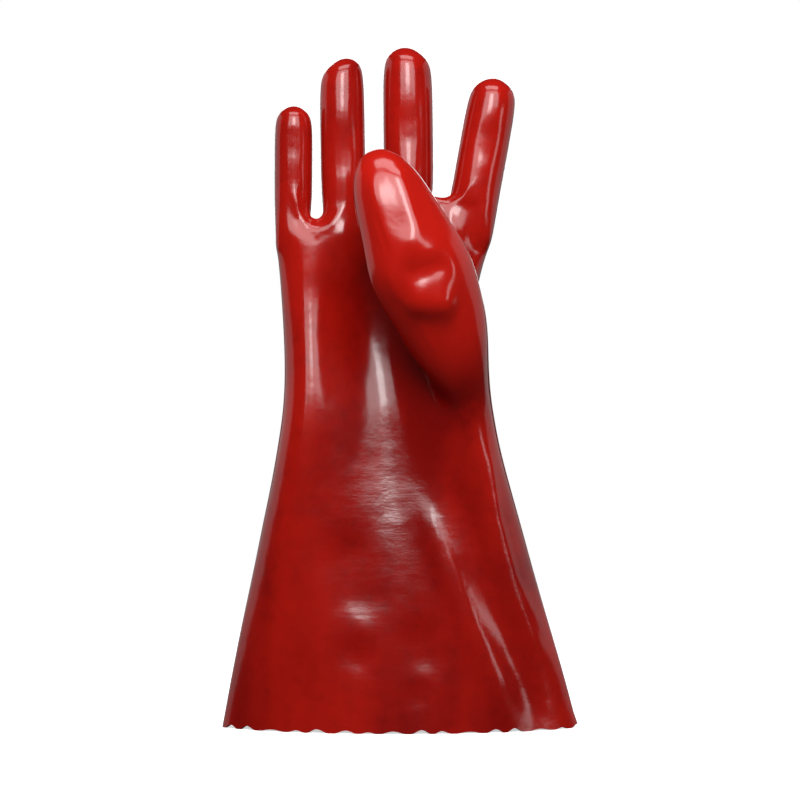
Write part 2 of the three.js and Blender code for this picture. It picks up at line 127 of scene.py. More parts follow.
# The columns over which the ball of the thumb rises, and its share at the side of the hand
MOUND_COLUMNS = (5.8, 9.2)
MOUND_SIDE = 0.5

# The hollow of the palm: the column at its middle, the columns to where it starts, and those over which it falls
CUP_COLUMN = 5.5
CUP_REACH = 3.6
CUP_FALL = 3.1

# Rings of the thumb: along is a share of its length, out, wide and deep of its width, width and depth, reach of the
# way forward, and pitch tips the ring forward in degrees. The last row is the cap
THUMB_COLUMN_NAMES = ("along", "out", "wide", "deep", "reach", "pitch")
THUMB_RINGS = tuple(
    dict(zip(THUMB_COLUMN_NAMES, row))
    for row in (
        (0.3, 0.07, 1.04, 1.5, 0.42, 66),
        (0.43, 0.09, 1.22, 1.42, 0.64, 52),
        (0.59, 0.09, 1.28, 1.26, 0.82, 33),
        (0.755, 0.035, 1.1, 1.08, 0.95, 17),
        (0.9, 0.025, 0.92, 0.93, 1, 10),
        (0.985, 0.02, 0.64, 0.64, 1, 5),
        (1.035, 0.02, 0.5, 0.5, 1, 5),
    )
)

# Folds and dents of the front, in millimetres: the layer, the width over which a fold fades, how far it rises, the
# length over which its ends fade, and its path from point to point, each across and up
FOLD_COLUMNS = ("on", "width", "rise", "ends", "path")
FOLDS = tuple(
    dict(zip(FOLD_COLUMNS, row))
    for row in (
        # The long folds of the gauntlet below the thumb, with the sharp lines on them
        ("palm", 6.8, 2.2, 50, ((6, 150), (26, 96), (41, 58), (55, 28), (68, -14))),
        ("palm", 8.1, -2.6, 40, ((26, 160), (46, 96), (62, 56), (72, 30), (84, -10))),
        ("palm", 6.2, 1.7, 35, ((46, 182), (53, 125), (63, 88), (76, 58), (86, 28))),
        ("palm", 2.0, 0.5, 15, ((14, 133), (31, 97), (46, 60), (61, 31), (68, 17))),
        ("palm", 2.0, 0.5, 15, ((51, 168), (57, 125), (67, 89), (79, 66), (86, 50))),
        # Soft hollows of the gauntlet, each with a lit slope under it
        ("palm", 15, -2.5, 0, ((-30, 100), (-25, 80))),
        ("palm", 9, -1.6, 0, ((-28, 46), (-25, 43))),
        ("palm", 10.5, -1.9, 0, ((12, 52), (14, 45))),
        ("palm", 6, -0.9, 0, ((10, 23), (10, 21))),
        # Pull of the skin below the webs
        ("palm", 2.0, 1.25, 16, ((-63, 322), (-60, 303), (-55, 294.5), (-48.5, 291), (-40, 295), (-31, 308))),
        ("palm", 9, 1.3, 0, ((-62, 290), (-36, 290))),
        ("palm", 1.9, 0.7, 9, ((16.5, 317), (21.5, 310.5), (29.5, 307), (37, 311), (44, 323))),
        ("palm", 1.9, 0.9, 12, ((28, 307), (29.5, 297), (33, 286), (37, 276))),
        ("palm", 5.0, -1.3, 0, ((41, 304), (44, 281))),
        ("palm", 1.3, 0.4, 4, ((50, 307), (48, 296), (46.5, 287), (42, 280))),
        # Slight unevenness of the fingers
        ("palm", 7, -0.5, 0, ((-33, 339), (-34, 331))),
        ("palm", 6, 0.4, 0, ((-34, 362), (-35, 357))),
        ("palm", 8, -0.6, 0, ((4, 354), (5, 346))),
        ("palm", 7, 0.5, 0, ((6, 326), (6, 319))),
        ("palm", 8, -0.6, 0, ((52, 346), (50, 339))),
        ("palm", 6, -0.4, 0, ((-63, 346), (-63, 340))),
        # Thumb: it stands out most at its joint, and its upper face is flat between two soft edges
        ("thumb", 23, 5.2, 0, ((-6, 260), (16, 267))),
        ("thumb", 4.2, 0.8, 12, ((-17.5, 322), (-11, 296), (-3.5, 274))),
        ("thumb", 4.6, 1.3, 10, ((-3, 326), (3, 310), (8.5, 288), (4, 273))),
        ("thumb", 1.1, -0.4, 6, ((-14.2, 298), (-9.5, 286), (-5, 274))),
        ("thumb", 5.6, -2.6, 9, ((-1, 262.5), (29, 269.5))),
        ("thumb", 2.4, 0.7, 5, ((-4.5, 268), (-1, 254), (7, 246), (17, 243.5), (25, 249))),
        ("thumb", 8.0, 4.3, 10, ((2, 249.5), (34, 244.5))),
        ("thumb", 1.3, 0.35, 5, ((11, 236), (22, 217))),
        # Ball of the thumb
        ("palm", 5.0, 1.6, 0, ((36, 232), (39, 226))),
        ("palm", 1.9, 0.55, 4, ((34, 187), (37.5, 181), (45, 191))),
    )
)

# Folds are pressed where the shell faces forward by more than the first share, in full from the second. The thumb
# is its own layer, in front of the wrist by these shares of the ball of the thumb
FACING = (0.1, 0.5)
THUMB_LAYER = (0.6, 1.2)

# The scallops differ in width and depth in two slow waves, and their crests are flat over a share of their depth
SCALLOPS = {
    "width_swing": 0.12, "width_rate": 2.3, "depth_mean": 0.8, "depth_swing": 0.35, "depth_rate": 1.7, "flat": 0.12,
}

# Edges sharper than this, in degrees, stay sharp
SHARP_EDGE = 50

# Points of the cage across the front of the hand, and round the whole hand
COLUMNS = 3 * len(FINGERS)
RING = 2 * COLUMNS + 2

# Colour and relief of the coating, in metres: the heights between which the gauntlet's dull coating turns glossy, how
# far back the thumb's lighter red reaches, painted light on the thumb, and the hollow of the palm, painted darker as
# shade
CUFF_FADE = (0.13, 0.2)
PAINTED_LIGHT_THUMB_FADE = (-0.04, -0.014)
PAINTED_HOLLOW_SHADE = {"middle": (-0.008, 0.0, 0.17), "scale": (21.0, 0.0, 6.5), "fade": (0.3, 1.3)}

# Rows and courses of the knitted cotton, in radians a metre
WALES = 3600
COURSES = 3000

# The floor fades out between these distances from the glove
FLOOR_SIZE = 12
FLOOR_FADE = (0.35, 1.3)

# Softboxes, in metres and watts. A name in place of the power is that of a stage setting
SOFTBOX_COLUMNS = ("name", "place", "target", "width", "height", "power")
SOFTBOXES = tuple(
    dict(zip(SOFTBOX_COLUMNS, row))
    for row in (
        ("key_softbox", (0.0, -1.05, 0.93), (0, 0, 0.93), 1.35, 0.92, "key_power"),
        ("key_core", (0.0, -1.0, 0.76), (0, 0, 0.76), 0.3, 0.52, "core_power"),
        ("low_strip", (1.05, -0.7, 0.28), (0, 0, 0.1), 0.22, 0.26, 0.55),
        ("top_softbox", (0.0, -0.9, 2.1), (0, 0, 0.3), 1.6, 0.8, 20),
        ("left_panel", (-1.4, 0.75, 0.5), (0, 0, 0.2), 1.9, 1.4, 5.5),
        ("right_panel", (1.4, 0.75, 0.5), (0, 0, 0.2), 1.9, 1.4, 4.5),
        ("back_softbox", (0.0, 2.4, 1.0), (0, 0, 0.2), 1.6, 1.2, 20),
    )
)

# Light that comes from all round, next to the white that the camera sees
AMBIENT = 0.035


class GloveSizes(bpy.types.PropertyGroup):
    """Sizes of the glove."""

    glove_length: bpy.props.FloatProperty(
        name="Length", description="From the hem to the tip of the middle finger", default=0.4, unit="LENGTH"
    )
    wall: bpy.props.FloatProperty(
        name="Wall", description="Thickness of the coated fabric", default=0.0016, unit="LENGTH"
    )
    hem_width: bpy.props.FloatProperty(
        name="Hem width", description="Width of the open end, laid over the palm", default=0.209, unit="LENGTH"
    )
    hem_depth: bpy.props.FloatProperty(
        name="Hem depth", description="Depth of the open end", default=0.066, unit="LENGTH"
    )
    wrist_width: bpy.props.FloatProperty(
        name="Wrist width", description="Width of the wrist", default=0.116, unit="LENGTH"
    )
    wrist_depth: bpy.props.FloatProperty(
        name="Wrist depth", description="Depth of the wrist", default=0.06, unit="LENGTH"
    )
    palm_depth: bpy.props.FloatProperty(
        name="Palm depth", description="Depth of the hand at the knuckles", default=0.039, unit="LENGTH"
    )
    palm_set_back: bpy.props.FloatProperty(
        name="Palm set-back", description="How far the hand stands back", default=0.005, unit="LENGTH"
    )
    hand_shift: bpy.props.FloatProperty(
        name="Hand shift", description="Shift of the hand across the hem's middle", default=-0.01, unit="LENGTH"
    )
    knuckle_shift: bpy.props.FloatProperty(
        name="Knuckle shift", description="Shift of the knuckles", default=-0.0094, unit="LENGTH"
    )
    finger_roundness: bpy.props.FloatProperty(
        name="Finger roundness", description="Depth of a finger as a share of its width", default=0.96
    )
    finger_curl: bpy.props.FloatProperty(
        name="Finger curl", description="How far the fingertips come forward", default=0.002, unit="LENGTH"
    )
    thumb_length: bpy.props.FloatProperty(
        name="Thumb length", description="From the wrist to the tip", default=0.161, unit="LENGTH"
    )
    thumb_width: bpy.props.FloatProperty(
        name="Thumb width", description="Width of the thumb", default=0.045, unit="LENGTH"
    )
    thumb_depth: bpy.props.FloatProperty(
        name="Thumb depth", description="Depth of the thumb", default=0.034, unit="LENGTH"
    )
    thumb_reach: bpy.props.FloatProperty(
        name="Thumb reach", description="How far the thumb stands forward", default=0.038, unit="LENGTH"
    )
    thumb_mound: bpy.props.FloatProperty(
        name="Ball of the thumb", description="Swell of the palm at the thumb", default=0.01, unit="LENGTH"
    )
    palm_hollow: bpy.props.FloatProperty(
        name="Hollow of the palm", description="How far the palm is cupped", default=0.022, unit="LENGTH"
    )
    thumb_lean: bpy.props.FloatProperty(
        name="Thumb lean", description="Lean across the palm", default=math.radians(21), subtype="ANGLE"
    )
    scallop_pitch: bpy.props.FloatProperty(
        name="Scallop pitch", description="Distance between the scallops of the hem", default=0.0147, unit="LENGTH"
    )
    scallop_depth: bpy.props.FloatProperty(
        name="Scallop depth", description="Depth of the notches of the hem", default=0.0021, unit="LENGTH"
    )


class GloveFinish(bpy.types.PropertyGroup):
    """Colours and gloss of the glove."""

    red: bpy.props.FloatVectorProperty(
        name="PVC", description="Colour of the coating", default=(0.38, 0.0068, 0.003), size=3, subtype="COLOR"
    )
    # Thick runs of the coating, and also the painted shade of the palm's hollow and of the cut edge
    deep_red_and_shade: bpy.props.FloatVectorProperty(
        name="Thick PVC and painted shade", description="Colour where it has run thick, also used as painted shade", default=(0.2, 0.0025, 0.0015), size=3,
        subtype="COLOR"
    )
    # Painted light: the thumb is lighter red where it stands forward into the light
    painted_light_red: bpy.props.FloatVectorProperty(
        name="Thumb PVC, painted light", description="Lighter red on the thumb, painted light where it stands forward", default=(0.44, 0.0085, 0.004),
        size=3, subtype="COLOR"
    )
    cotton: bpy.props.FloatVectorProperty(
        name="Cotton", description="Colour of the inner face", default=(0.62, 0.56, 0.46), size=3, subtype="COLOR"
    )
    roughness: bpy.props.FloatProperty(
        name="Roughness", description="Roughness of the hand's coating", default=0.13, min=0, max=1
    )
    cuff_roughness: bpy.props.FloatProperty(
        name="Cuff roughness", description="Roughness of the gauntlet's coating", default=0.15, min=0, max=1
    )


class StageSettings(bpy.types.PropertyGroup):
    """Camera and lights."""

    distance: bpy.props.FloatProperty(
        name="Camera distance", description="From the glove's middle", default=1.3825, unit="LENGTH"
    )
    height: bpy.props.FloatProperty(
        name="Camera height", description="Over the floor", default=0.1923, unit="LENGTH"
    )
    lens: bpy.props.FloatProperty(
        name="Lens", description="Focal length of the camera", default=107.1, unit="CAMERA"
    )
    key_power: bpy.props.FloatProperty(
        name="Key", description="Power of the large softbox in front", default=17.0, unit="POWER"
    )
    core_power: bpy.props.FloatProperty(
        name="Core", description="Power of the brighter middle of the softbox", default=4.6, unit="POWER"
    )


# Modelling

def only(piece):
    """Deselects everything and makes one piece the selected, active one."""
    bpy.ops.object.select_all(action="DESELECT")
    piece.select_set(True)
    bpy.context.view_layer.objects.active = piece


def settle(count):
    """A ring of so many cage points settles this much inside its points once it is smoothed."""
    return (4 + 2 * math.cos(2 * math.pi / count)) / 6


def smoothstep(value, low, high):
    """0 below low, 1 above high, smooth between them."""
    share = np.clip((value - low) / (high - low), 0, 1)
    return share * share * (3 - 2 * share)


class Cage:
    """The coarse cage of the glove, in edit mode, drawn out ring by ring from the root line of the fingers."""

    def __init__(self, sizes):
        self.sizes = sizes
        self.knuckles = sizes.glove_length - MIDDLE_LENGTH
        self.breadth = sum(finger["width"] + finger["gap"] for finger in FINGERS)
        self.centres = []
        standing = sizes.knuckle_shift - self.breadth / 2
        for finger in FINGERS:
            self.centres.append(standing + finger["width"] / 2)
            standing += finger["width"] + finger["gap"]
        self.columns = [
            centre + side * ROOT["column"] * finger["width"]
            for centre, finger in zip(self.centres, FINGERS)
            for side in (-1, 0, 1)
        ]
        bpy.ops.object.select_all(action="DESELECT")
        bpy.ops.mesh.primitive_grid_add(x_subdivisions=COLUMNS - 1, y_subdivisions=2, size=1)
        self.piece = bpy.context.object
        self.piece.name = self.piece.data.name = "dipped_glove"
        bpy.ops.object.mode_set(mode="EDIT")
        bpy.ops.mesh.select_mode(type="FACE")

    def mesh(self):
        """The mesh in edit mode, with the layers that tell each point's column, row and section."""
        mesh = bmesh.from_edit_mesh(self.piece.data)
        layers = mesh.verts.layers.int
        for name in ("column", "row", "section"):
            if layers.get(name) is None:
                layers.new(name)
        mesh.verts.ensure_lookup_table()
        return mesh, layers["column"], layers["row"], layers["section"]

    def select(self, element, wanted):
        """Selects the faces or edges that pass a test, and nothing else."""
        bpy.ops.mesh.select_all(action="DESELECT")
        bpy.ops.mesh.select_mode(type="FACE" if element == "faces" else "EDGE")
        mesh, *layers = self.mesh()
        for item in getattr(mesh, element):
            item.select_set(wanted(item, *layers))
        mesh.select_flush_mode()
        bmesh.update_edit_mesh(self.piece.data)

    def draw_out(self, place):
        """Extrudes what is selected and moves each new point to its place."""
        bpy.ops.mesh.extrude_region_move()
        mesh, *layers = self.mesh()
        for point in mesh.verts:
            if point.select:
                place(point, *layers)
        bmesh.update_edit_mesh(self.piece.data)

    def lay_root(self):
        """Three rows of points, front, middle and back, from which the fingers rise and the palm hangs."""
        mesh, column_of, row_of, section_of = self.mesh()
        for point in mesh.verts:
            column = round((point.co.x + 0.5) * (COLUMNS - 1))
            row = round(point.co.y * 2)
            finger = FINGERS[column // 3]
            side = column % 3 - 1
            edge = -1 if column == 0 else 1 if column == COLUMNS - 1 else 0
            out = edge * ROOT["swell"] * finger["width"] if row < 0 else 0
            deep = ROOT["middle"] if side == 0 else ROOT["side"]
            dip = 0 if row < 0 and edge == 0 else ROOT["dip"] * MIDDLE_LENGTH
            left = FINGERS[column // 3 - 1]["web"] if column >= 3 else ROOT["little"]
            right = finger["web"]
            rise = left if side < 0 else right if side > 0 else (left + right) / 2
            point[column_of], point[row_of], point[section_of] = column, row, len(SECTIONS)
            point.co = (
                self.columns[column] + out,
                self.sizes.palm_set_back + row * deep * finger["width"] * self.sizes.finger_roundness / 2,
                self.knuckles + rise * MIDDLE_LENGTH - dip,
            )
        bmesh.update_edit_mesh(self.piece.data)

    def raise_finger(self, index):
        """A finger is drawn out of its four root faces and closes over its tip."""
        finger = FINGERS[index]
        own = range(3 * index, 3 * index + 3)
        lean = math.radians(finger["lean"])

        def spot(rise, across, depth):
            share = rise / finger["length"]
            slanted = max(0, (share - SLOPE_FROM) / (1 - SLOPE_FROM))
            height = rise + finger["slope"] * across * slanted
            return (
                self.centres[index] + across * math.cos(lean) + height * math.sin(lean),
                self.sizes.palm_set_back + depth - self.sizes.finger_curl * share * share,
                self.knuckles + height * math.cos(lean) - across * math.sin(lean),
            )

        self.select("faces", lambda face, column, *_: all(point[column] in own for point in face.verts))
        for ring in FINGER_RINGS:
            rise = ring["up"] * finger["length"] - ring["down"] * finger["width"]
            half = ring["wide"] * finger["width"] / 2 / settle(FINGER_RING)
            tip = finger["length"] + CAP_RISE * finger["width"]

            def place(point, column_of, row_of, section_of):
                side, row = point[column_of] - own[1], point[row_of]
                if side == 0 and row == 0:
                    point.co = spot(tip, 0, 0)
                    return
                angle = math.atan2(row, side)
                point.co = spot(
                    rise, half * math.cos(angle), half * self.sizes.finger_roundness * math.sin(angle)
                )

            self.draw_out(place)

    def section_point(self, section, share, side, mound, cup):
        """A point of a section of the gauntlet or the palm, at a share of its half width."""
        sizes = self.sizes
        width = (
            sizes.wrist_width
            + (sizes.hem_width - sizes.wrist_width) * section["flare"]
            + (self.breadth - sizes.wrist_width) * section["spread"]
        )
        depth = (
            sizes.wrist_depth
            + (sizes.hem_depth - sizes.wrist_depth) * section["flare"]
            + (sizes.palm_depth - sizes.wrist_depth) * section["thin"]
        )
        bulge = side * depth * (1 - share * share) ** section["full"] / 2
        return (
            sizes.hand_shift * section["shift"] + width / 2 * share / settle(RING),
            sizes.palm_set_back * section["set"] + bulge - sizes.thumb_mound * section["mound"] * mound
            + sizes.palm_hollow * section["cup"] * cup,
            self.knuckles * section["at"],
        )

    def hang_gauntlet(self):
        """The open edge of the root line is drawn down, section by section, to the hem."""
        self.select("edges", lambda edge, *_: edge.is_boundary)
        for index in reversed(range(len(SECTIONS))):
            section = SECTIONS[index]

            def place(point, column_of, row_of, section_of):
                column, row = point[column_of], point[row_of]
                point[section_of] = index
                if row == 0:
                    share = -1 if column == 0 else 1
                    mound = MOUND_SIDE if share > 0 else 0
                    cup = 0
                else:
                    angle = math.pi * (column + 1) / (COLUMNS + 1)
                    hand = (self.columns[column] - self.sizes.knuckle_shift) / (self.breadth / 2)
                    share = hand + (-math.cos(angle) - hand) * section["even"]
                    mound = smoothstep(column, *MOUND_COLUMNS) if row < 0 else 0
                    fall = (CUP_REACH - abs(column - CUP_COLUMN)) / CUP_FALL
                    cup = min(1, max(0, fall)) if row < 0 else 0
                point.co = self.section_point(section, share, row, mound, cup)

            self.draw_out(place)

    def raise_thumb(self):
        """The thumb is drawn out of a patch of the palm, and closes over its tip."""
        sizes = self.sizes
        first, last = THUMB_COLUMNS
        lowest, highest = THUMB_SECTIONS
        width, height = last - first, highest - lowest
        axis = Vector((-math.sin(sizes.thumb_lean), 0, math.cos(sizes.thumb_lean)))
        across = Vector((math.cos(sizes.thumb_lean), 0, math.sin(sizes.thumb_lean)))
        forward = Vector((0, -1, 0))
        start = Vector((
            THUMB_ROOT["across"] * sizes.wrist_width,
            -THUMB_ROOT["forward"] * sizes.wrist_depth,
            THUMB_ROOT["up"] * self.knuckles,
        ))

        def grid_place(point, column_of, row_of, section_of):
            column = last if point[row_of] == 0 else point[column_of]
            return column - first, point[section_of] - lowest

        def in_patch(face, column_of, row_of, section_of):
            for point in face.verts:
                right_side = point[row_of] == 0 and point[column_of] == COLUMNS - 1
                in_front = point[row_of] < 0 and point[column_of] >= first
                if not (right_side or in_front) or not lowest <= point[section_of] <= highest:
                    return False
            return True

        def rim_angle(u, v):
            if v == 0 and u < width:
                return -135 + 90 * u / width
            if u == width and v < height:
                return -45 + 90 * v / height
            if v == height and u > 0:
                return 45 + 90 * (width - u) / width
            return 135 + 90 * (height - v) / height

        def spot(ring, u, v):
            pitch = math.radians(ring["pitch"])
            back = -forward * math.cos(pitch) + axis * math.sin(pitch)
            return (
                start
                + axis * ring["along"] * sizes.thumb_length
                + forward * ring["reach"] * sizes.thumb_reach
                + across * sizes.thumb_width * (ring["out"] + u * ring["wide"] / 2)
                + back * sizes.thumb_depth * v * ring["deep"] / 2
            )

        self.select("faces", in_patch)
        swell = 1 / settle(2 * (width + height))
        for ring in THUMB_RINGS[:-1]:

            def place(point, *layers):
                u, v = grid_place(point, *layers)
                if 0 < u < width and 0 < v < height:
                    point.co = spot(THUMB_RINGS[-1], 2 * u / width - 1, 2 * v / height - 1)
                    return
                angle = math.radians(rim_angle(u, v))
                point.co = spot(ring, swell * math.cos(angle), swell * math.sin(angle))

            self.draw_out(place)

    def build(self):
        """Models the whole cage and returns it, out of edit mode."""
        self.lay_root()
        for index in range(len(FINGERS)):
            self.raise_finger(index)
        self.hang_gauntlet()
        self.raise_thumb()
        bpy.ops.mesh.select_all(action="SELECT")
        bpy.ops.mesh.normals_make_consistent(inside=False)
        bpy.ops.object.mode_set(mode="OBJECT")
        return self.piece


def apply_modifier(piece, kind, **settings):
    """Adds a modifier with its settings and applies it."""
    only(piece)
    modifier = piece.modifiers.new(kind.title(), kind)
    for name, value in settings.items():
        setattr(modifier, name, value)
    bpy.ops.object.modifier_apply(modifier=modifier.name)


def read_points(piece):
    """The places and the normals of a piece's points."""
    points = np.empty(len(piece.data.vertices) * 3)
    piece.data.vertices.foreach_get("co", points)
    normals = np.empty(len(piece.data.vertices) * 3)
    piece.data.vertex_normals.foreach_get("vector", normals)
    return points.reshape(-1, 3), normals.reshape(-1, 3)


def write_points(piece, points):
    """Moves a piece's points to new places."""
    piece.data.vertices.foreach_set("co", points.ravel())
    piece.data.update()


def face_outwards(piece):
    """Turns the shell's faces if the fingertips turn out to look down."""
    points, normals = read_points(piece)
    if normals[np.argmax(points[:, 2]), 2] < 0:
        only(piece)
        bpy.ops.object.mode_set(mode="EDIT")
        bpy.ops.mesh.select_all(action="SELECT")
        bpy.ops.mesh.flip_normals()
        bpy.ops.object.mode_set(mode="OBJECT")


def press_folds(piece, sizes):
    """Moves the front of the shell along its own normals where folds and dents cross it."""
    points, normals = read_points(piece)
    facing = smoothstep(-normals[:, 1], *FACING)
    layer_from, layer_to = (share * sizes.thumb_mound for share in THUMB_LAYER)
    on_thumb = smoothstep(-points[:, 1] - sizes.wrist_depth / 2, layer_from, layer_to)
    plane = points[:, [0, 2]]
    rise = np.zeros(len(points))
    for fold in FOLDS:
        path = np.array(fold["path"]) / 1000
        nearest = np.full(len(points), np.inf)
        along = np.zeros(len(points))
        passed = 0.0
        for start, end in zip(path, path[1:]):
            way = end - start
            share = np.clip((plane - start) @ way / (way @ way), 0, 1)
            away = np.linalg.norm(plane - start - share[:, None] * way, axis=1)
            along = np.where(away < nearest, passed + share * np.linalg.norm(way), along)
            nearest = np.minimum(nearest, away)
            passed += np.linalg.norm(way)
        fade = nearest * 1000 / fold["width"]
        from_ends = np.minimum(along, passed - along) * 1000
        grown = smoothstep(from_ends, 0, fold["ends"]) if fold["ends"] else 1
        layer = on_thumb if fold["on"] == "thumb" else 1 - on_thumb
        rise += layer * grown * fold["rise"] / 1000 * np.exp(-fade * fade)
    write_points(piece, points + normals * (rise * facing)[:, None])


def cut_hem(piece, sizes):
    """Draws the open edge down its own slope to a scalloped hem."""
    only(piece)
    bpy.ops.object.mode_set(mode="EDIT")
    bpy.ops.mesh.select_mode(type="EDGE")
    bpy.ops.mesh.select_all(action="DESELECT")
    mesh = bmesh.from_edit_mesh(piece.data)
    for edge in mesh.edges:
        edge.select_set(edge.is_boundary)
    bpy.ops.mesh.extrude_region_move()
    mesh = bmesh.from_edit_mesh(piece.data)
    for point in [point for point in mesh.verts if point.select]:
        above = next(edge.other_vert(point) for edge in point.link_edges if not edge.is_boundary)
        higher = next(
            edge.other_vert(above)
            for edge in above.link_edges
            if edge.other_vert(above) is not point and abs(edge.other_vert(above).co.z - above.co.z) > 1e-3
        )
        slope = above.co - higher.co
        point.co = above.co + slope * (-above.co.z / slope.z)
    bmesh.update_edit_mesh(piece.data)
    bpy.ops.mesh.subdivide(number_cuts=1)
    mesh = bmesh.from_edit_mesh(piece.data)
    rim = {point for point in mesh.verts if point.co.z < 1e-6}
    loop = [min(rim, key=lambda point: (point.co.x, point.co.y))]
    while len(loop) < len(rim):
        nearby = [edge.other_vert(loop[-1]) for edge in loop[-1].link_edges if edge.is_boundary]
        loop.append(next(point for point in nearby if point not in loop[-2:] and point is not loop[0]))
    walked = np.cumsum([0.0] + [(b.co - a.co).length for a, b in zip(loop, loop[1:] + loop[:1])])
    count = round(walked[-1] / sizes.scallop_pitch)
    for point, along in zip(loop, walked):
        turn = along / walked[-1] * count
        swung = turn + SCALLOPS["width_swing"] * math.sin(turn * SCALLOPS["width_rate"])
        wave = (1 - math.cos(2 * math.pi * swung)) / 2
        swing = SCALLOPS["depth_swing"] * math.sin(turn * SCALLOPS["depth_rate"] + 1)
        depth = sizes.scallop_depth * (SCALLOPS["depth_mean"] + swing)
        point.co.z = depth * max(0, wave - SCALLOPS["flat"]) / (1 - SCALLOPS["flat"])
    bmesh.update_edit_mesh(piece.data)
    bpy.ops.object.mode_set(mode="OBJECT")


def stand_in_place(piece):
    """Moves the shell over the solid that it replaces: in the middle across, and level with it at the back."""
    points, _ = read_points(piece)
    middle = (points[:, 0].min() + points[:, 0].max()) / 2
    wanted = (cad_low.x + cad_high.x) / 2
    write_points(piece, points + np.array((wanted - middle, cad_high.y - points[:, 1].max(), 0)))


# Materials

class Wire:
    """A value in a material's nodes. An expression on it adds its Math nodes."""

    def __init__(self, shader, socket):
        self.shader = shader
        self.socket = socket

    def math(self, operation, *values):
        """Adds a Math node."""
        return self.shader.add("ShaderNodeMath", {"operation": operation}, dict(enumerate(values)))

    def __add__(self, other):
        return self.math("ADD", self, other)

    def __radd__(self, other):
        return self.math("ADD", other, self)

    def __sub__(self, other):
        return self.math("SUBTRACT", self, other)

    def __rsub__(self, other):
        return self.math("SUBTRACT", other, self)

    def __mul__(self, other):
        return self.math("MULTIPLY", self, other)

    def __rmul__(self, other):
        return self.math("MULTIPLY", other, self)

    def sine(self):
        return self.math("SINE", self)

    def between(self, low, high):
        """0 below low, 1 above high, smooth between them."""
        return self.shader.add(
            "ShaderNodeMapRange", {"interpolation_type": "SMOOTHSTEP"}, {0: self, 1: low, 2: high}
        )


class Shader:
    """The nodes of one material."""

    def __init__(self, name):
        self.material = bpy.data.materials.new(name)
        self.material.use_nodes = True
        self.nodes = self.material.node_tree.nodes
        self.links = self.material.node_tree.links
        self.nodes.clear()

    def add(self, kind, settings=None, sockets=None, output=0):
        """Adds a node, sets it, gives its sockets their values or links, and returns one of its outputs."""
        node = self.nodes.new(kind)
        for name, value in (settings or {}).items():
            if name == "stops":
                ramp = node.color_ramp.elements
                while len(ramp) < len(value):
                    ramp.new(0.5)
                for stop, (position, colour) in zip(ramp, value):
                    stop.position = position
                    stop.color = colour
            else:
                setattr(node, name, value)
        for name, value in (sockets or {}).items():
            if isinstance(value, Wire):
                self.links.new(value.socket, node.inputs[name])
            else:
                node.inputs[name].default_value = value
        return Wire(self, node.outputs[output]) if len(node.outputs) else None

    def noise(self, place, scale, detail=2.0, roughness=0.5):
        """Adds a Noise Texture."""
        return self.add(
            "ShaderNodeTexNoise",
            {"noise_dimensions": "3D"},
            {"Vector": place, "Scale": scale, "Detail": detail, "Roughness": roughness},
        )

    def vector(self, operation, *values, output=0):
        """Adds a Vector Math node. Output 1 is a number, such as a length."""
        return self.add("ShaderNodeVectorMath", {"operation": operation}, dict(enumerate(values)), output)

    def axes(self, place):
        """The three parts of a place."""
        return [self.add("ShaderNodeSeparateXYZ", None, {0: place}, output=axis) for axis in range(3)]

    def mixed(self, share, first, second):
        """A colour between two colours."""
        first, second = ((*colour, 1) if isinstance(colour, tuple) else colour for colour in (first, second))
        return self.add("ShaderNodeMix", {"data_type": "RGBA"}, {0: share, 6: first, 7: second}, output=2)

    def surface(self, **sockets):
        """Ends the material in a Principled shader."""
        named = {name.replace("_", " "): value for name, value in sockets.items()}
        shader = self.add("ShaderNodeBsdfPrincipled", None, named)
        self.add("ShaderNodeOutputMaterial", None, {"Surface": shader})
        return self.material


def pvc_material(finish):
    """Dipped PVC: glossy on the hand, duller and rippled on the gauntlet where the knit shows through."""
    shader = Shader("glossy_red_pvc")
    place = shader.add("ShaderNodeTexCoord", output=3)
    _, depth, height = shader.axes(place)
    cuff = 1 - height.between(*CUFF_FADE)
    # The front of the thumb, painted lighter as painted light
    thumb = 1 - depth.between(*PAINTED_LIGHT_THUMB_FADE)
    # The hollow of the palm, darkened where the thumb shades it: painted shade
    from_middle = shader.vector("SUBTRACT", place, PAINTED_HOLLOW_SHADE["middle"])
    away = shader.vector("LENGTH", shader.vector("MULTIPLY", from_middle, PAINTED_HOLLOW_SHADE["scale"]), output=1)
    painted_hollow_shade = 1 - away.between(*PAINTED_HOLLOW_SHADE["fade"])

    # Where the coating has run thick it is darker at random. The hollow of the palm is painted darker too, as painted
    # shade, and the thumb is painted lighter, as painted light
    clouds = shader.noise(place, 28, 3, 0.6)
    mottle = shader.noise(place, 160, 2, 0.6)
    streaks = shader.noise(shader.vector("MULTIPLY", place, (24.0, 24.0, 4.0)), 1.0, 2, 0.5)
    thick_and_shade = clouds.between(0.35, 0.7) * 0.35 + mottle.between(0.45, 0.8) * 0.2
    thick_and_shade = thick_and_shade + streaks.between(0.4, 0.65) * 0.5 + painted_hollow_shade * 0.7
    colour = shader.mixed(thick_and_shade * (1 - thumb * 0.7), tuple(finish.red), tuple(finish.deep_red_and_shade))
    colour = shader.mixed(thumb * 0.75, colour, tuple(finish.painted_light_red))

    # Orange peel and soft lumps all over, with ripples and pits on the gauntlet
    peel = shader.noise(place, 330, 1, 0.4)
    lumps = shader.noise(place, 70, 1, 0.5)
    ripples = shader.noise(shader.vector("MULTIPLY", place, (60.0, 60.0, 260.0)), 1.0, 3, 0.6)
    pits = shader.noise(place, 900, 1, 0.5)
    relief = peel * 0.03 + lumps * 0.12 + cuff * (lumps * 0.16 + ripples * 0.07 + pits * 0.02)
    normal = shader.add("ShaderNodeBump", None, {"Strength": 1.0, "Distance": 0.0012, "Height": relief})
    roughness = finish.roughness + cuff * (finish.cuff_roughness - finish.roughness) + mottle * 0.05
    return shader.surface(Base_Color=colour, Roughness=roughness, Normal=normal, IOR=1.52)


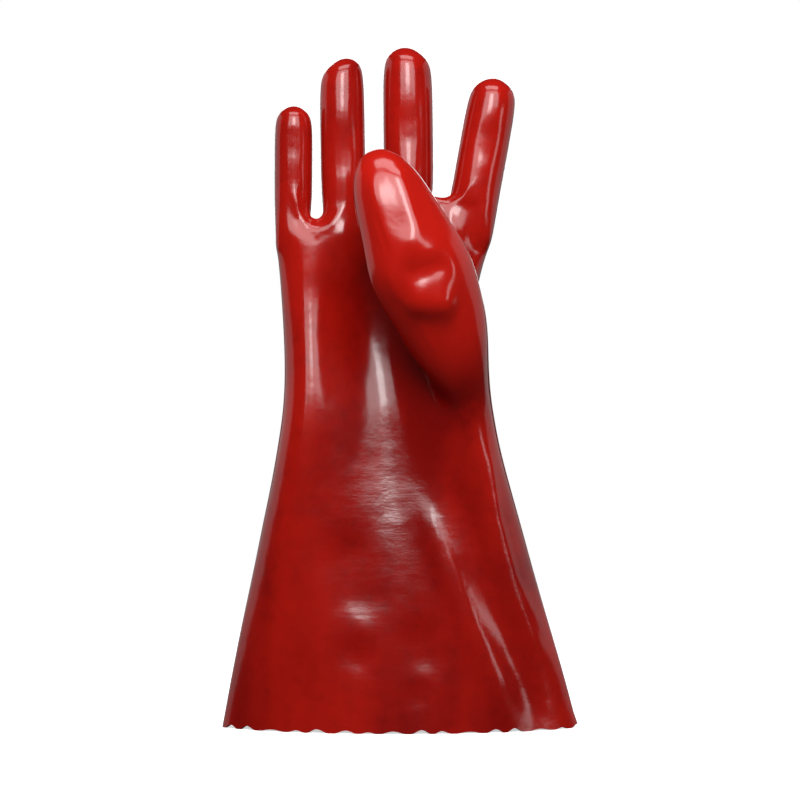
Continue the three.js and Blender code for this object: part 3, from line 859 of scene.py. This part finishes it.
def cotton_material(finish):
    """The knitted cotton of the inner face, in fine wales and courses."""
    shader = Shader("knitted_cotton")
    place = shader.add("ShaderNodeTexCoord", output=3)
    across, _, height = shader.axes(place)
    wales = (across * WALES).sine() * 0.5 + 0.5
    courses = (height * COURSES).sine() * 0.5 + 0.5
    knit = wales * courses
    fluff = shader.noise(place, 400, 3, 0.6)
    cotton = tuple(finish.cotton)
    shade = tuple(value * 0.72 for value in cotton)
    colour = shader.mixed(knit * 0.7 + fluff * 0.3, shade, cotton)
    normal = shader.add(
        "ShaderNodeBump", None, {"Strength": 0.6, "Distance": 0.0004, "Height": knit + fluff * 0.4}
    )
    return shader.surface(Base_Color=colour, Roughness=0.92, Normal=normal, Sheen_Weight=0.3)


def edge_material(finish):
    """The cut edge of the hem, where the coating is matt, and painted darker as shade."""
    shader = Shader("cut_edge")
    place = shader.add("ShaderNodeTexCoord", output=3)
    grain = shader.noise(place, 600, 2, 0.5)
    deep = tuple(finish.deep_red_and_shade)
    # Painted shade: the cut edge is darkened
    colour = shader.mixed(grain, deep, tuple(value * 0.5 for value in deep))
    return shader.surface(Base_Color=colour, Roughness=0.55)


def floor_material():
    """Pale paper that fades out into the white round it."""
    shader = Shader("pale_floor")
    place = shader.add("ShaderNodeTexCoord", output=3)
    grain = shader.noise(place, 3, 2, 0.5)
    colour = shader.mixed(grain, (0.93, 0.93, 0.93), (0.96, 0.96, 0.96))
    distance = shader.vector("LENGTH", place, output=1)
    return shader.surface(
        Base_Color=colour, Roughness=0.9, Alpha=1 - distance.between(*FLOOR_FADE),
        Emission_Color=(1, 1, 1, 1), Emission_Strength=0.6,
    )


# Operators

class GLOVE_OT_shell(bpy.types.Operator):
    """Model the dipped glove: cage, folds, scalloped hem, wall and finish."""

    bl_idname = "glove.shell"
    bl_label = "Dipped glove"

    def execute(self, context):
        sizes, finish = context.scene.glove_sizes, context.scene.glove_finish
        piece = Cage(sizes).build()
        apply_modifier(piece, "SUBSURF", levels=3, render_levels=3)
        face_outwards(piece)
        press_folds(piece, sizes)
        cut_hem(piece, sizes)
        stand_in_place(piece)
        for material in (pvc_material(finish), cotton_material(finish), edge_material(finish)):
            piece.data.materials.append(material)
        apply_modifier(
            piece, "SOLIDIFY", thickness=sizes.wall, offset=-1, use_rim=True,
            material_offset=1, material_offset_rim=2,
        )
        only(piece)
        bpy.ops.object.shade_smooth_by_angle(angle=math.radians(SHARP_EDGE))
        if len(piece.data.polygons) < 1000:
            raise RuntimeError("the glove's shell was not drawn out")
        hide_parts("glove_shell")
        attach(piece, "root")
        return {"FINISHED"}


def softbox(name, place, target, width, height, power):
    """A soft rectangular light that faces a point and isn't seen itself."""
    light = bpy.data.lights.new(name, "AREA")
    light.shape = "RECTANGLE"
    light.size, light.size_y = width, height
    light.energy = power
    thing = bpy.data.objects.new(name, light)
    bpy.context.scene.collection.objects.link(thing)
    thing.visible_camera = False
    thing.location = place
    thing.rotation_euler = (Vector(target) - Vector(place)).to_track_quat("-Z", "Y").to_euler()


class GLOVE_OT_stage(bpy.types.Operator):
    """Set the pale floor, the soft studio light and the camera."""

    bl_idname = "glove.stage"
    bl_label = "Stage"

    def execute(self, context):
        stage = context.scene.stage_settings
        bpy.ops.object.select_all(action="DESELECT")
        bpy.ops.mesh.primitive_plane_add(size=FLOOR_SIZE, location=(0, 0, 0))
        floor = context.object
        floor.name = "floor"
        floor.visible_glossy = False
        floor.visible_diffuse = False
        floor.data.materials.append(floor_material())
        floor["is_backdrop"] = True

        for row in SOFTBOXES:
            power = row["power"]
            softbox(**{**row, "power": getattr(stage, power) if isinstance(power, str) else power})

        world = bpy.data.worlds.new("studio")
        context.scene.world = world
        world.use_nodes = True
        nodes, links = world.node_tree.nodes, world.node_tree.links
        background = nodes["Background"]
        seen = nodes.new("ShaderNodeLightPath")
        shade = nodes.new("ShaderNodeMath")
        shade.operation = "MULTIPLY_ADD"
        shade.inputs[1].default_value = 1 - AMBIENT
        shade.inputs[2].default_value = AMBIENT
        links.new(seen.outputs["Is Camera Ray"], shade.inputs[0])
        background.inputs["Color"].default_value = (1, 1, 1, 1)
        links.new(shade.outputs[0], background.inputs["Strength"])

        data = bpy.data.cameras.new("camera")
        data.lens = stage.lens
        camera = bpy.data.objects.new("camera", data)
        context.scene.collection.objects.link(camera)
        camera.location = (0, -stage.distance, stage.height)
        camera.rotation_euler = (math.radians(90), 0, 0)
        context.scene.camera = camera
        context.scene.view_settings.view_transform = "Standard"
        if stage.distance <= cad_high.y or stage.height <= 0:
            raise RuntimeError("the camera doesn't stand in front of the glove and over the floor")
        return {"FINISHED"}


class GLOVE_PT_panel(bpy.types.Panel):
    """Sizes, finish and stage of the glove."""

    bl_label = "Work glove"
    bl_idname = "GLOVE_PT_panel"
    bl_space_type = "VIEW_3D"
    bl_region_type = "UI"
    bl_category = "Glove"

    def draw(self, context):
        for group in (context.scene.glove_sizes, context.scene.glove_finish, context.scene.stage_settings):
            box = self.layout.box()
            for name in group.__annotations__:
                box.prop(group, name)
        for operator in OPERATORS:
            self.layout.operator(operator.bl_idname)


GROUPS = (("glove_sizes", GloveSizes), ("glove_finish", GloveFinish), ("stage_settings", StageSettings))
OPERATORS = (GLOVE_OT_shell, GLOVE_OT_stage)


def register():
    for name, group in GROUPS:
        bpy.utils.register_class(group)
        setattr(bpy.types.Scene, name, bpy.props.PointerProperty(type=group))
    for kind in (*OPERATORS, GLOVE_PT_panel):
        bpy.utils.register_class(kind)


def unregister():
    for kind in (GLOVE_PT_panel, *reversed(OPERATORS)):
        bpy.utils.unregister_class(kind)
    for name, group in reversed(GROUPS):
        delattr(bpy.types.Scene, name)
        bpy.utils.unregister_class(group)


def main():
    """Registers the add-on's classes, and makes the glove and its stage."""
    register()
    bpy.ops.glove.shell()
    bpy.ops.glove.stage()


if __name__ == "__main__":
    main()
